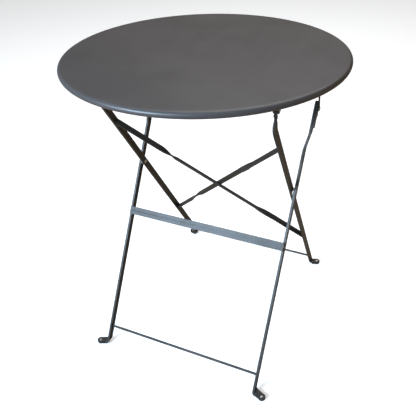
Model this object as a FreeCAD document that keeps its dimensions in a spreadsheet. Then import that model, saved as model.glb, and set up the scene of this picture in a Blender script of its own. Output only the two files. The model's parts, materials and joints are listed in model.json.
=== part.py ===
import FreeCAD, Part
import math
import os
import Sketcher
from FreeCAD import Placement, Rotation, Vector

# Folding bistro table in steel bar and sheet, millimetres.
# +X is the table's right, +Y its back, +Z up. The origin is on the floor, at the middle of the
# table's bounding box. The top is hinged to the inner frame, which stands on the back feet, and the
# outer frame, which stands on the front feet, crosses it on two pivot rivets. Two stays tie the back
# of the top to the outer frame.

doc = FreeCAD.newDocument("bistro_table")

# ---------------------------------------------------------------- driving dimensions

SIZES = [
    ("top_diameter", 600.0, "outside of the rolled rim"),
    ("table_height", 735.0, "floor to the top's surface"),
    ("sheet_gauge", 1.5, "steel sheet of the top"),
    ("roll_radius", 7.0, "outside radius of the rolled rim"),
    ("roll_turn", 290.0, "degrees that the rim is rolled through"),
    ("bar_width", 16.0, "leg bar, across its wide face"),
    ("bar_gauge", 5.0, "leg bar, thickness"),
    ("outer_half_width", 204.0, "middle of an outer leg from the centre plane"),
    ("inner_half_width", 195.0, "middle of an inner leg from the centre plane"),
    ("pivot_height", 421.0, "leg pivot above the floor"),
    ("pivot_back", 32.0, "leg pivot behind the middle of the top"),
    ("front_reach", 222.0, "outer leg's floor point in front of the middle of the top"),
    ("back_reach", 308.0, "inner leg's floor point behind the middle of the top"),
    ("joggle_height", 508.0, "start of the outward joggle of the outer legs"),
    ("joggle_rise", 32.0, "height of the joggle"),
    ("joggle_step", 6.0, "sideways step of the joggle"),
    ("joggle_bend", 18.0, "bend radius of the joggle at the middle of the bar"),
    ("outer_top_reach", 204.0, "outer leg's top rounding from the pivot"),
    ("hinge_height", 682.0, "top hinge above the floor"),
    ("hinge_front", 108.0, "top hinge in front of the middle of the top"),
    ("twist_rise", 24.0, "height of the quarter twist of an inner leg, above its bend"),
    ("upright_bend", 8.0, "bend to upright, from its corner to where it starts and ends"),
    ("hinge_eye_width", 6.0, "rolled eye at the top of an inner leg, along the pin"),
    ("hinge_pin_radius", 2.5, "top hinge pin"),
    ("hinge_head_radius", 4.4, "head of a hinge pin"),
    ("hinge_head_height", 2.0, "head of a hinge pin, height"),
    ("pivot_radius", 3.0, "leg pivot rivet"),
    ("pivot_head_radius", 5.4, "head of a leg pivot rivet"),
    ("pivot_head_height", 2.4, "head of a leg pivot rivet, height"),
    ("washer_radius", 9.0, "washer between the legs at the pivot"),
    ("small_rivet_radius", 2.5, "stay and foot rivets"),
    ("foot_head_radius", 3.6, "head of a foot rivet"),
    ("foot_head_height", 1.6, "head of a foot rivet, height"),
    ("foot_rivet_recess", 1.2, "foot rivet's lower end above the floor"),
    ("stay_head_radius", 4.4, "head of a stay rivet"),
    ("stay_head_height", 1.8, "head of a stay rivet, height"),
    ("running_fit", 0.06, "radial clearance of a pin in a turning hole"),
    ("side_gap", 0.3, "side clearance between pieces that turn against each other"),
    ("outer_foot_out", 22.0, "outer leg's foot disc outwards from the middle of the leg"),
    ("outer_foot_forward", 7.0, "outer leg's foot disc forwards from the leg's floor line"),
    ("inner_foot_out", 17.5, "inner leg's foot disc outwards from the middle of the leg"),
    ("inner_foot_back", 3.0, "inner leg's foot disc backwards from the leg's floor line"),
    ("foot_radius", 9.0, "foot disc"),
    ("foot_bend", 6.0, "foot bend, radius at the middle of the bar"),
    ("glide_height", 3.0, "plastic glide under a foot tab"),
    ("glide_margin", 1.0, "foot tab beyond its glide, all round"),
    ("crossbar_width", 19.5, "front crossbar, across its wide face"),
    ("crossbar_gauge", 4.0, "front crossbar, thickness"),
    ("crossbar_inset", 1.5, "front crossbar's ends inside the outer legs' outside faces"),
    ("crossbar_drop", 129.5, "front crossbar below the pivot, along the leg"),
    ("crossbar_rivet_radius", 2.4, "crossbar rivet"),
    ("crossbar_rivet_recess", 0.6, "crossbar rivet's end below the bar's face"),
    ("outer_rod_radius", 3.0, "lower rod of the outer frame"),
    ("outer_rod_height", 42.0, "lower rod of the outer frame above the floor"),
    ("inner_rod_radius", 3.0, "lower rod of the inner frame"),
    ("inner_rod_height", 44.5, "lower rod of the inner frame above the floor"),
    ("brace_width", 13.5, "twisted brace, across its wide face"),
    ("brace_gauge", 3.5, "twisted brace, thickness"),
    ("brace_rivet_radius", 2.0, "rivet where the braces cross"),
    ("brace_head_radius", 4.0, "head of the braces' rivet"),
    ("brace_head_height", 1.6, "head of the braces' rivet, height"),
    ("falling_left_twist", 80.0, "falling brace's left twist from the left leg"),
    ("falling_left_length", 27.0, "falling brace's left twist, length across the frame"),
    ("falling_right_twist", 71.0, "falling brace's right twist from the right leg"),
    ("falling_right_length", 42.0, "falling brace's right twist, length across the frame"),
    ("rising_left_twist", 78.0, "rising brace's left twist from the left leg"),
    ("rising_left_length", 38.0, "rising brace's left twist, length across the frame"),
    ("rising_right_twist", 77.0, "rising brace's right twist from the right leg"),
    ("rising_right_length", 38.0, "rising brace's right twist, length across the frame"),
    ("brace_top", 189.0, "upper brace ends above the pivot, along the leg"),
    ("rising_brace_lift", 5.0, "rising brace's upper end above the falling brace's"),
    ("brace_bottom", 282.0, "lower brace ends below the pivot, along the leg"),
    ("rail_margin", 1.7, "rail beyond the hinge clevis, towards the centre plane"),
    ("rail_gauge", 3.0, "rail under the top, thickness"),
    ("rail_overrun", 16.0, "rail beyond the hinge and beyond the stay lug"),
    ("ear_gauge", 2.5, "ear of a hinge clevis"),
    ("ear_radius", 7.0, "rounded end of a hinge ear"),
    ("lug_gauge", 3.0, "stay lug and stay plate"),
    ("lug_radius", 8.0, "rounded end of a stay lug"),
    ("stay_lug_drop", 15.5, "stay lug's hole below the top's underside"),
    ("knee_along", 195.0, "stay's lower hole from the pivot, along the outer leg"),
    ("knee_ahead", 1.0, "stay's lower hole in front of the middle of the outer leg"),
    ("bulge_along", 183.0, "stay plate's rounded back from the pivot, along the leg"),
    ("bulge_behind", 4.0, "stay plate's rounded back behind the middle of the leg"),
    ("bulge_radius", 9.0, "stay plate's rounded back"),
    ("plate_tail", 44.0, "stay plate below the stay's lower hole"),
    ("stay_radius", 2.0, "round stay"),
    ("stay_eye_radius", 6.0, "flattened eye of a stay"),
    ("stay_eye_gauge", 3.0, "flattened eye of a stay, thickness"),
    ("folded_tilt", 57.0, "degrees that the top turns down against the inner frame when folded"),
]

sheet = doc.addObject("Spreadsheet::Sheet", "Sizes")
for row, (alias, value, note) in enumerate(SIZES, start=1):
    sheet.set(f"A{row}", note)
    sheet.set(f"B{row}", str(value))
    sheet.setAlias(f"B{row}", alias)
doc.recompute()


def size(alias):
    """A driving dimension, read back from the sheet."""
    return float(sheet.get(alias))


# ---------------------------------------------------------------- worked-out places

bar_width = size("bar_width")
bar_gauge = size("bar_gauge")
half_bar = bar_width / 2
half_gauge = bar_gauge / 2
top_radius = size("top_diameter") / 2
running_fit = size("running_fit")
side_gap = size("side_gap")
glide_height = size("glide_height")

outer_lean = math.atan2(size("front_reach") + size("pivot_back"), size("pivot_height"))
inner_lean = math.atan2(size("back_reach") - size("pivot_back"), size("pivot_height"))

# The back foot discs reach further than the top, and the box is centred on what reaches furthest.
tab_middle_height = glide_height + half_gauge
tab_top_height = glide_height + bar_gauge
foot_line = size("back_reach") - tab_middle_height * math.tan(inner_lean)
leg_edge = size("back_reach") - glide_height * math.tan(inner_lean) + half_bar / math.cos(inner_lean)
back_extent = max(foot_line + size("inner_foot_back") + size("foot_radius"), leg_edge)
middle = (max(back_extent, top_radius) - top_radius) / 2   # top's centre is this far to the front

pivot = Vector(0, size("pivot_back") - middle, size("pivot_height"))
hinge = Vector(0, -size("hinge_front") - middle, size("hinge_height"))
top_centre_y = -middle
underside = size("table_height") - size("sheet_gauge")
knee = pivot + Vector(
    0,
    size("knee_along") * math.sin(outer_lean) - size("knee_ahead") * math.cos(outer_lean),
    size("knee_along") * math.cos(outer_lean) + size("knee_ahead") * math.sin(outer_lean),
)


def turned(point, centre, angle):
    """The point turned about an X axis through centre, by an angle in radians."""
    y = point.y - centre.y
    z = point.z - centre.z
    return Vector(
        point.x,
        centre.y + y * math.cos(angle) - z * math.sin(angle),
        centre.z + y * math.sin(angle) + z * math.cos(angle),
    )


# The frames close until the inner legs come to the outer frame's lower rod.
rod_along = (size("pivot_height") - size("outer_rod_height")) / math.cos(outer_lean)
rest_offset = half_bar + size("outer_rod_radius") + 4 * side_gap
fold_travel = outer_lean + inner_lean - math.asin(rest_offset / rod_along)
fold_travel = math.radians(math.floor(math.degrees(fold_travel) * 10) / 10)
folded_tilt = math.radians(size("folded_tilt"))

# The stay lug lies where the stay's length is the same open and folded.
knee_open = knee - hinge
knee_folded = turned(turned(knee, pivot, fold_travel), hinge, folded_tilt) - hinge
lug_height = underside - size("stay_lug_drop")
step_y = knee_open.y - knee_folded.y
step_z = knee_open.z - knee_folded.z
half_difference = (knee_open.dot(knee_open) - knee_folded.dot(knee_folded)) / 2
lug_behind_hinge = (half_difference - step_z * (lug_height - hinge.z)) / step_y
lug = Vector(0, hinge.y + lug_behind_hinge, lug_height)
stay_length = (lug - knee).Length
stay_open = math.atan2(knee.z - lug.z, knee.y - lug.y)
folded_direction = knee_folded - (lug - hinge)
stay_folded = math.atan2(folded_direction.z, folded_direction.y)
if stay_folded > stay_open:
    stay_folded -= 2 * math.pi

# Sideways positions of what is riveted together, from the centre plane outwards.
inner_x = size("inner_half_width")
outer_x = size("outer_half_width")
outer_top_x = outer_x + size("joggle_step")
inner_face = inner_x - half_gauge
plate_x = outer_top_x + half_gauge
stay_face = plate_x + size("lug_gauge") + side_gap
stay_x = stay_face + max(size("stay_radius"), size("stay_eye_gauge") / 2)
eye_inner = stay_x - size("stay_eye_gauge") / 2
eye_outer = stay_x + size("stay_eye_gauge") / 2
lug_x = stay_face - side_gap - size("lug_gauge")

outer_frame_place = Placement(pivot, Rotation(Vector(1, 0, 0), -math.degrees(outer_lean)))
inner_frame_place = Placement(pivot, Rotation(Vector(1, 0, 0), math.degrees(inner_lean)))

nodes = []


def node(obj, label):
    """Names an object as a sub-part that is written out."""
    obj.Label = label
    nodes.append(obj)
    return obj


def shape_object(name, shape, place=None):
    """A feature that holds a shape worked out from the sheet's values."""
    obj = doc.addObject("Part::Feature", name)
    obj.Shape = shape
    if place is not None:
        obj.Placement = place
    return obj


def mirrored(source, name):
    """The same piece on the table's other side."""
    obj = doc.addObject("Part::Mirroring", name)
    obj.Source = source
    obj.Normal = Vector(1, 0, 0)
    obj.Base = Vector(0, 0, 0)
    return obj


def both_sides(source, name):
    """One node that holds a fastener and its twin on the other side."""
    obj = doc.addObject("Part::Compound", name)
    obj.Links = [source, mirrored(source, name + "_twin")]
    return obj


def cylinder(name, radius, height, place):
    """A cylinder whose radius and height are expressions on the sheet, along its own Z."""
    obj = doc.addObject("Part::Cylinder", name)
    obj.setExpression("Radius", radius)
    obj.setExpression("Height", height)
    obj.Placement = place
    return obj


def box(name, length, width, height, place):
    """A box whose three sizes are expressions on the sheet."""
    obj = doc.addObject("Part::Box", name)
    obj.setExpression("Length", length)
    obj.setExpression("Width", width)
    obj.setExpression("Height", height)
    obj.Placement = place
    return obj


def fused(name, pieces):
    """Several features joined into one."""
    obj = doc.addObject("Part::MultiFuse", name)
    obj.Shapes = pieces
    obj.Refine = True
    return obj


def cut(name, base, tool):
    """One feature with another taken away."""
    obj = doc.addObject("Part::Cut", name)
    obj.Base = base
    obj.Tool = tool
    return obj


ALONG_X = Rotation(Vector(0, 1, 0), 90)


def at(x, y, z, rotation=None):
    """A placement at a point."""
    return Placement(Vector(x, y, z), rotation or Rotation())


def sketch_on(body, role, name):
    """A sketch on one of the body's own origin planes."""
    plane = [item for item in body.Origin.OriginFeatures if item.Role == role][0]
    sketch = body.newObject("Sketcher::SketchObject", name)
    sketch.AttachmentSupport = (plane, [""])
    sketch.MapMode = "FlatFace"
    return sketch


# ---------------------------------------------------------------- bar shapes


def strip_face(points, radii, thickness, normal):
    """A flat face of even thickness that follows a bent centre line.

    points are the corners of the centre line, radii the bend radius at each inner corner, and
    normal the direction square to the face.
    """
    directions = [(b - a).normalize() for a, b in zip(points, points[1:])]
    sides = []
    for side in (1, -1):
        edges = []
        start = points[0] + normal.cross(directions[0]) * (side * thickness / 2)
        for index in range(1, len(points) - 1):
            before = directions[index - 1]
            after = directions[index]
            turn = math.acos(max(-1.0, min(1.0, before.dot(after))))
            back = radii[index - 1] * math.tan(turn / 2)
            sense = 1 if before.cross(after).dot(normal) > 0 else -1
            centre = points[index] - before * back + normal.cross(before) * (sense * radii[index - 1])
            reach = radii[index - 1] - sense * side * thickness / 2
            enter = centre - normal.cross(before) * (sense * reach)
            leave = centre - normal.cross(after) * (sense * reach)
            halfway = centre + (enter + leave - centre * 2).normalize() * reach
            edges.append(Part.LineSegment(start, enter).toShape())
            edges.append(Part.Arc(enter, halfway, leave).toShape())
            start = leave
        finish = points[-1] + normal.cross(directions[-1]) * (side * thickness / 2)
        edges.append(Part.LineSegment(start, finish).toShape())
        sides.append((edges, start, finish))
    first = Part.LineSegment(
        points[0] + normal.cross(directions[0]) * (thickness / 2),
        points[0] - normal.cross(directions[0]) * (thickness / 2),
    ).toShape()
    last = Part.LineSegment(sides[0][2], sides[1][2]).toShape()
    loop = Part.__sortEdges__(sides[0][0] + [last] + sides[1][0] + [first])
    return Part.Face(Part.Wire(loop))


def round_hole(x_low, x_high, y, z, radius):
    """A cylinder along X, used to cut a hole."""
    return Part.makeCylinder(radius, x_high - x_low, Vector(x_low, y, z), Vector(1, 0, 0))


def foot_plate(root, centre, half_root, radius, low, high):
    """A level plate from a leg's root line at X = root to a round end about centre."""
    corners = [
        Vector(root.x, root.y - half_root, low),
        Vector(centre.x, centre.y - radius, low),
        Vector(centre.x, centre.y + radius, low),
        Vector(root.x, root.y + half_root, low),
        Vector(root.x, root.y - half_root, low),
    ]
    plate = Part.Face(Part.makePolygon(corners)).extrude(Vector(0, 0, high - low))
    disc = Part.makeCylinder(radius, high - low, Vector(centre.x, centre.y, low))
    return plate.fuse(disc).removeSplitter()


def leg_blank(front_line, radii, lean, floor_y, foot):
    """A leg as seen from the front, cut to its leaning outline and given its rounded foot.

    front_line is the centre line from the foot's outer end to the top, with its bend radii. lean is
    positive where the leg leans back going up, floor_y is where its middle line meets the floor, and
    foot is the middle of the foot's round end.
    """
    deep = 1200.0
    face = strip_face(front_line, radii, bar_gauge, Vector(0, 1, 0))
    profile = face.extrude(Vector(0, deep, 0))
    profile.translate(Vector(0, -deep / 2, 0))
    height = front_line[-1].z
    side = half_bar / math.cos(lean)
    lift = height * math.tan(lean)
    corners = [
        Vector(0, floor_y - side, 0),
        Vector(0, floor_y + side, 0),
        Vector(0, floor_y + side + lift, height),
        Vector(0, floor_y - side + lift, height),
        Vector(0, floor_y - side, 0),
    ]
    outline = Part.Face(Part.makePolygon(corners)).extrude(Vector(deep, 0, 0))
    root = Vector(front_line[1].x + size("foot_bend"), floor_y + tab_middle_height * math.tan(lean), 0)
    outline = outline.cut(Part.makeBox(deep, deep, tab_top_height + 0.5, Vector(root.x, -deep / 2, 0)))
    plate = foot_plate(root, foot, side, size("foot_radius"), glide_height, tab_top_height)
    return profile.common(outline).fuse(plate).removeSplitter()


# ---------------------------------------------------------------- outer frame: legs

outer_floor_y = pivot.y - pivot.z * math.tan(outer_lean)
inner_floor_y = pivot.y + pivot.z * math.tan(inner_lean)
outer_foot_y = outer_floor_y + tab_middle_height * math.tan(outer_lean)
outer_foot = Vector(outer_x + size("outer_foot_out"), outer_foot_y - size("outer_foot_forward"), 0)
inner_foot_y = inner_floor_y - tab_middle_height * math.tan(inner_lean)
inner_foot = Vector(inner_x + size("inner_foot_out"), inner_foot_y + size("inner_foot_back"), 0)
joggle_low = size("joggle_height")
joggle_high = joggle_low + size("joggle_rise")
outer_top = pivot + Vector(0, math.sin(outer_lean), math.cos(outer_lean)) * size("outer_top_reach")


def outer_leg_shape():
    """The right outer leg: foot tab, leaning bar, joggle and rounded top."""
    line = [
        Vector(outer_foot.x, 0, tab_middle_height),
        Vector(outer_x, 0, tab_middle_height),
        Vector(outer_x, 0, joggle_low),
        Vector(outer_top_x, 0, joggle_high),
        Vector(outer_top_x, 0, outer_top.z + bar_width),
    ]
    radii = [size("foot_bend"), size("joggle_bend"), size("joggle_bend")]
    leg = leg_blank(line, radii, outer_lean, outer_floor_y, outer_foot)
    beyond = Part.makeBox(80, 4 * bar_width, 4 * bar_width, Vector(outer_x - 40, -2 * bar_width, 0))
    beyond.Placement = Placement(outer_top, Rotation(Vector(1, 0, 0), -math.degrees(outer_lean)))
    rounded = round_hole(outer_x - 40, outer_x + 40, outer_top.y, outer_top.z, half_bar)
    leg = leg.cut(beyond.cut(rounded))
    pivot_hole = round_hole(outer_x - 10, outer_x + 10, pivot.y, pivot.z, size("pivot_radius") + running_fit)
    foot_hole = Part.makeCylinder(size("small_rivet_radius"), tab_top_height + 1, outer_foot)
    return leg.cut(pivot_hole).cut(foot_hole)


outer_leg_right = node(shape_object("OuterLegRight", outer_leg_shape()), "outer_leg_right")
node(mirrored(outer_leg_right, "OuterLegLeft"), "outer_leg_left")

# ---------------------------------------------------------------- inner frame: legs

eye_radius = size("hinge_pin_radius") + running_fit + bar_gauge
eye_width = size("hinge_eye_width")
strip_y = hinge.y - eye_radius + half_gauge       # middle of the upright tongue below the eye
inner_up = Vector(0, -math.sin(inner_lean), math.cos(inner_lean))
bend_reach = size("upright_bend")
bend_corner = pivot + inner_up * ((pivot.y - strip_y) / math.sin(inner_lean)) + Vector(inner_x, 0, 0)
bend_start = bend_corner - inner_up * bend_reach
twist_start = bend_corner + Vector(0, 0, bend_reach)
twist_end = twist_start + Vector(0, 0, size("twist_rise"))


def bar_section(middle_point, direction, turn, half_wide):
    """A rectangle of the bar's thickness, square to direction and turned about it."""
    across = Vector(1, 0, 0).cross(direction).normalize()
    wide = across * math.cos(turn) + Vector(1, 0, 0) * math.sin(turn)
    thin = direction.cross(wide).normalize()
    corners = []
    for u, v in ((1, 1), (1, -1), (-1, -1), (-1, 1), (1, 1)):
        corners.append(middle_point + wide * (u * half_wide) + thin * (v * half_gauge))
    return Part.makePolygon(corners)


def upright_bend():
    """The bend that brings the leaning bar upright."""
    sections = []
    for step in range(5):
        share = step / 4
        place = (bend_start * (1 - share) ** 2 + bend_corner * (2 * share * (1 - share))
                 + twist_start * share ** 2)
        heading = inner_up * (1 - share) + Vector(0, 0, share)
        sections.append(bar_section(place, heading.normalize(), 0, half_bar))
    return Part.makeLoft(sections, True, False)


def quarter_twist():
    """The quarter twist that narrows the bar into its hinge tongue, turning most near the eye."""
    sections = []
    for step in range(13):
        share = step / 12
        place = twist_start + (twist_end - twist_start) * share
        half_wide = half_bar + (eye_width / 2 - half_bar) * share
        sections.append(bar_section(place, Vector(0, 0, 1), math.pi / 2 * share ** 3, half_wide))
    return Part.makeLoft(sections, True, True)


def inner_leg_shape():
    """The right inner leg: foot, leaning bar, twisted upright end and rolled hinge eye."""
    line = [
        Vector(inner_foot.x, 0, tab_middle_height),
        Vector(inner_x, 0, tab_middle_height),
        Vector(inner_x, 0, twist_end.z),
    ]
    leg = leg_blank(line, [size("foot_bend")], -inner_lean, inner_floor_y, inner_foot)
    above = Part.makeBox(80, 8 * bar_width, 8 * bar_width, Vector(-40, -4 * bar_width, 0))
    above.Placement = Placement(bend_start, Rotation(Vector(1, 0, 0), math.degrees(inner_lean)))
    leg = leg.cut(above)
    tongue = Part.makeBox(eye_width, bar_gauge, hinge.z - twist_end.z,
                          Vector(inner_x - eye_width / 2, strip_y - half_gauge, twist_end.z))
    eye = round_hole(inner_x - eye_width / 2, inner_x + eye_width / 2, hinge.y, hinge.z, eye_radius)
    leg = leg.fuse([upright_bend(), quarter_twist(), tongue, eye]).removeSplitter()
    pin_hole = round_hole(inner_x - 20, inner_x + 20, hinge.y, hinge.z,
                          size("hinge_pin_radius") + running_fit)
    pivot_hole = round_hole(inner_x - 10, inner_x + 10, pivot.y, pivot.z, size("pivot_radius"))
    foot_hole = Part.makeCylinder(size("small_rivet_radius"), tab_top_height + 1, inner_foot)
    return leg.cut(pin_hole).cut(pivot_hole).cut(foot_hole)


inner_leg_right = node(shape_object("InnerLegRight", inner_leg_shape()), "inner_leg_right")
node(mirrored(inner_leg_right, "InnerLegLeft"), "inner_leg_left")

# ---------------------------------------------------------------- twisted braces

brace_span = 2 * (inner_x - half_gauge)
brace_drop = size("brace_top") + size("brace_bottom")
brace_gauge = size("brace_gauge")


def turn_share(along, stretch):
    """How much of a quarter twist is done at a share of the brace's length."""
    begin, end = stretch
    return max(0.0, min(1.0, (along - begin) / (end - begin)))


def brace_shape(rise, high, offset, twists):
    """A strip between the inner legs that stands on edge at its ends and lies flat between.

    rise is +1 where the strip climbs to the right. high is its upper end above the pivot, and
    offset moves its flat middle square to the frame. twists are the shares of its length where its
    two quarter twists begin and end.
    """
    first = twists[:2]
    second = twists[2:]
    low = -size("brace_bottom")
    start = Vector(-brace_span / 2, 0, low if rise > 0 else high)
    end = Vector(brace_span / 2, 0, high if rise > 0 else low)
    span = end - start
    along = Vector(span).normalize()
    square = Vector(0, 1, 0)
    in_plane = along.cross(square)
    overrun = size("brace_width") / span.Length   # it's cut off flush with the legs further on
    half_wide = size("brace_width") / 2

    def section(share):
        """The strip's cross-section at a share of its length."""
        quarter = math.pi / 2
        turn = quarter * (1 + turn_share(share, first) + turn_share(share, second))
        flat = turn_share(share, first) - turn_share(share, second)
        place = start + span * share + square * (offset * flat)
        wide = in_plane * math.cos(turn) + square * math.sin(turn)
        thin = along.cross(wide)
        corners = []
        for u, v in ((1, 1), (1, -1), (-1, -1), (-1, 1), (1, 1)):
            corners.append(place + wide * (u * half_wide) + thin * (v * brace_gauge / 2))
        return Part.makePolygon(corners)

    solids = []
    for begin, finish in ((-overrun, first[0]), (first[1], second[0]), (second[1], 1 + overrun)):
        solids.append(Part.makeLoft([section(begin), section(finish)], True, True))
    for begin, finish in (first, second):
        cuts = [begin + (finish - begin) * step / 8 for step in range(9)]
        solids.append(Part.makeLoft([section(share) for share in cuts], True, False))
    strip = solids[0].fuse(solids[1:]).removeSplitter()
    between = Part.makeBox(brace_span, 100, 4 * brace_drop,
                           Vector(-brace_span / 2, -50, -2 * brace_drop))
    rivet_hole = Part.makeCylinder(brace_rivet_radius, 40, Vector(crossing.x, -20, crossing.z),
                                   Vector(0, 1, 0))
    return strip.common(between).cut(rivet_hole)


# Where the two strips cross, in the inner frame's plane.
rising_top = size("brace_top") + size("rising_brace_lift")
falling_slope = -(size("brace_top") + size("brace_bottom")) / brace_span
rising_slope = (rising_top + size("brace_bottom")) / brace_span
falling_middle = (size("brace_top") - size("brace_bottom")) / 2
rising_middle = (rising_top - size("brace_bottom")) / 2
crossing_x = (rising_middle - falling_middle) / (falling_slope - rising_slope)
crossing = Vector(crossing_x, 0, falling_middle + falling_slope * crossing_x)
brace_rivet_radius = size("brace_rivet_radius")


def stretches(name):
    """Where a brace's two twists begin and end, as shares of the way from leg to leg."""
    first = size(name + "_left_twist")
    second = brace_span - size(name + "_right_twist")
    ends = (first, first + size(name + "_left_length"), second - size(name + "_right_length"), second)
    return [end / brace_span for end in ends]


falling = brace_shape(-1, size("brace_top"), -brace_gauge / 2, stretches("falling"))
node(shape_object("FallingBrace", falling, inner_frame_place), "brace_falling_right")
rising = brace_shape(1, rising_top, brace_gauge / 2, stretches("rising"))
node(shape_object("RisingBrace", rising, inner_frame_place), "brace_rising_right")


def domed_rivet(radius, head_radius, head_height, grip, far_head=True):
    """A rivet along +Z: a domed head below z = 0, a shank of the grip's length and a second head."""
    head = dome(head_radius, head_height)
    shank = Part.makeCylinder(radius, grip)
    near = head.mirror(Vector(0, 0, 0), Vector(0, 0, 1))
    pieces = [near]
    if far_head:
        far = head.copy()
        far.translate(Vector(0, 0, grip))
        pieces.append(far)
    return shank.fuse(pieces).removeSplitter()


def dome(radius, height):
    """A spherical cap on the XY plane."""
    ball_radius = (radius ** 2 + height ** 2) / (2 * height)
    ball = Part.makeSphere(ball_radius, Vector(0, 0, height - ball_radius))
    above = Part.makeCylinder(2 * ball_radius, height + 1)
    return ball.common(above)


brace_rivet_place = inner_frame_place.multiply(
    at(crossing.x, -brace_gauge, crossing.z, Rotation(Vector(1, 0, 0), -90)))
brace_rivet = domed_rivet(brace_rivet_radius, size("brace_head_radius"), size("brace_head_height"),
                          2 * brace_gauge)
node(shape_object("BraceRivet", brace_rivet, brace_rivet_place), "brace_rivet")

# ---------------------------------------------------------------- rods

outer_rod_y = outer_floor_y + size("outer_rod_height") * math.tan(outer_lean)
outer_rod = cylinder("OuterRod", "Sizes.outer_rod_radius", "2 * Sizes.outer_half_width - Sizes.bar_gauge",
                     at(-outer_x + half_gauge, outer_rod_y, size("outer_rod_height"), ALONG_X))
node(outer_rod, "outer_lower_rod")
inner_rod_y = inner_floor_y - size("inner_rod_height") * math.tan(inner_lean)
inner_rod = cylinder("InnerRod", "Sizes.inner_rod_radius", "2 * Sizes.inner_half_width - Sizes.bar_gauge",
                     at(-inner_x + half_gauge, inner_rod_y, size("inner_rod_height"), ALONG_X))
node(inner_rod, "inner_lower_rod")

# ---------------------------------------------------------------- front crossbar

crossbar_half = outer_x + half_gauge - size("crossbar_inset")
crossbar_rivet_radius = size("crossbar_rivet_radius")


def crossbar_body():
    """The flat bar across the front of the outer legs, with its rivet holes."""
    body = doc.addObject("PartDesign::Body", "Crossbar")
    sketch = sketch_on(body, "XZ_Plane", "CrossbarOutline")
    high = size("crossbar_width") / 2
    corners = [Vector(-crossbar_half, -high, 0), Vector(crossbar_half, -high, 0),
               Vector(crossbar_half, high, 0), Vector(-crossbar_half, high, 0)]
    for index in range(4):
        sketch.addGeometry(Part.LineSegment(corners[index], corners[(index + 1) % 4]), False)
    for index in range(4):
        sketch.addConstraint(Sketcher.Constraint("Coincident", index, 2, (index + 1) % 4, 1))
    for index, kind in enumerate(("Horizontal", "Vertical", "Horizontal", "Vertical")):
        sketch.addConstraint(Sketcher.Constraint(kind, index))
    width = sketch.addConstraint(Sketcher.Constraint("DistanceX", 0, 1, 0, 2, 2 * crossbar_half))
    sketch.setExpression(f"Constraints[{width}]",
                         "2 * Sizes.outer_half_width + Sizes.bar_gauge - 2 * Sizes.crossbar_inset")
    height = sketch.addConstraint(Sketcher.Constraint("DistanceY", 1, 1, 1, 2, 2 * high))
    sketch.setExpression(f"Constraints[{height}]", "Sizes.crossbar_width")
    sketch.addConstraint(Sketcher.Constraint("Symmetric", 0, 1, 2, 1, -1, 1))
    pad = body.newObject("PartDesign::Pad", "CrossbarPad")
    pad.Profile = sketch
    pad.setExpression("Length", "Sizes.crossbar_gauge")
    holes = sketch_on(body, "XZ_Plane", "CrossbarHoles")
    for side in (-1, 1):
        centre = Vector(side * outer_x, 0, 0)
        holes.addGeometry(Part.Circle(centre, Vector(0, 0, 1), crossbar_rivet_radius), False)
    pocket = body.newObject("PartDesign::Pocket", "CrossbarRivetHoles")
    pocket.Profile = holes
    pocket.Type = 1
    pocket.Midplane = True
    doc.recompute()
    return body


crossbar = crossbar_body()
crossbar.Placement = outer_frame_place.multiply(at(0, -half_bar, -size("crossbar_drop")))
node(crossbar, "outer_crossbar")

crossbar_rivet_length = size("crossbar_gauge") - size("crossbar_rivet_recess")
crossbar_rivet = shape_object(
    "CrossbarRivet",
    Part.makeCylinder(crossbar_rivet_radius, crossbar_rivet_length, Vector(0, 0, 0), Vector(0, 1, 0)),
    outer_frame_place.multiply(at(outer_x, -half_bar - crossbar_rivet_length, -size("crossbar_drop"))))
node(both_sides(crossbar_rivet, "CrossbarRivets"), "crossbar_rivets")

# ---------------------------------------------------------------- leg pivots

washer_low = inner_x + half_gauge
washer_gauge = ("Sizes.outer_half_width - Sizes.inner_half_width - Sizes.bar_gauge"
                " - Sizes.running_fit")
washer_disc = cylinder("WasherDisc", "Sizes.washer_radius", washer_gauge,
                       at(washer_low, pivot.y, pivot.z, ALONG_X))
washer_bore = cylinder("WasherBore", "Sizes.pivot_radius", washer_gauge + " + 2",
                       at(washer_low - 1, pivot.y, pivot.z, ALONG_X))
washer = cut("Washer", washer_disc, washer_bore)
node(both_sides(washer, "Washers"), "pivot_washers")

pivot_grip = outer_x + half_gauge + running_fit - inner_face
pivot_rivet = domed_rivet(size("pivot_radius"), size("pivot_head_radius"), size("pivot_head_height"),
                          pivot_grip)
pivot_rivet_right = shape_object("PivotRivet", pivot_rivet, at(inner_face, pivot.y, pivot.z, ALONG_X))
node(both_sides(pivot_rivet_right, "PivotRivets"), "pivot_rivets")

# ---------------------------------------------------------------- feet


def foot_pieces(name, leg_x, foot, leg_y, lean):
    """The glide under a foot and the rivet that holds it."""
    margin = size("glide_margin")
    root = Vector(leg_x + size("foot_bend"), leg_y, 0)
    half_root = half_bar / math.cos(lean) - margin
    glide = foot_plate(root, foot, half_root, size("foot_radius") - margin, 0, glide_height)
    glide = glide.cut(Part.makeCylinder(size("small_rivet_radius"), glide_height, foot))
    recess = size("foot_rivet_recess")
    shank = Part.makeCylinder(size("small_rivet_radius"), tab_top_height - recess,
                              foot + Vector(0, 0, recess))
    head = dome(size("foot_head_radius"), size("foot_head_height"))
    head.translate(foot + Vector(0, 0, tab_top_height))
    rivet = shank.fuse(head).removeSplitter()
    return shape_object(name + "Glide", glide), shape_object(name + "FootRivet", rivet)


outer_glide, outer_foot_rivet = foot_pieces("Outer", outer_x, outer_foot, outer_foot_y, outer_lean)
node(both_sides(outer_glide, "OuterGlides"), "outer_glides")
node(both_sides(outer_foot_rivet, "OuterFootRivets"), "outer_foot_rivets")
inner_glide, inner_foot_rivet = foot_pieces("Inner", inner_x, inner_foot, inner_foot_y, inner_lean)
node(both_sides(inner_glide, "InnerGlides"), "inner_glides")
node(both_sides(inner_foot_rivet, "InnerFootRivets"), "inner_foot_rivets")

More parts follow.
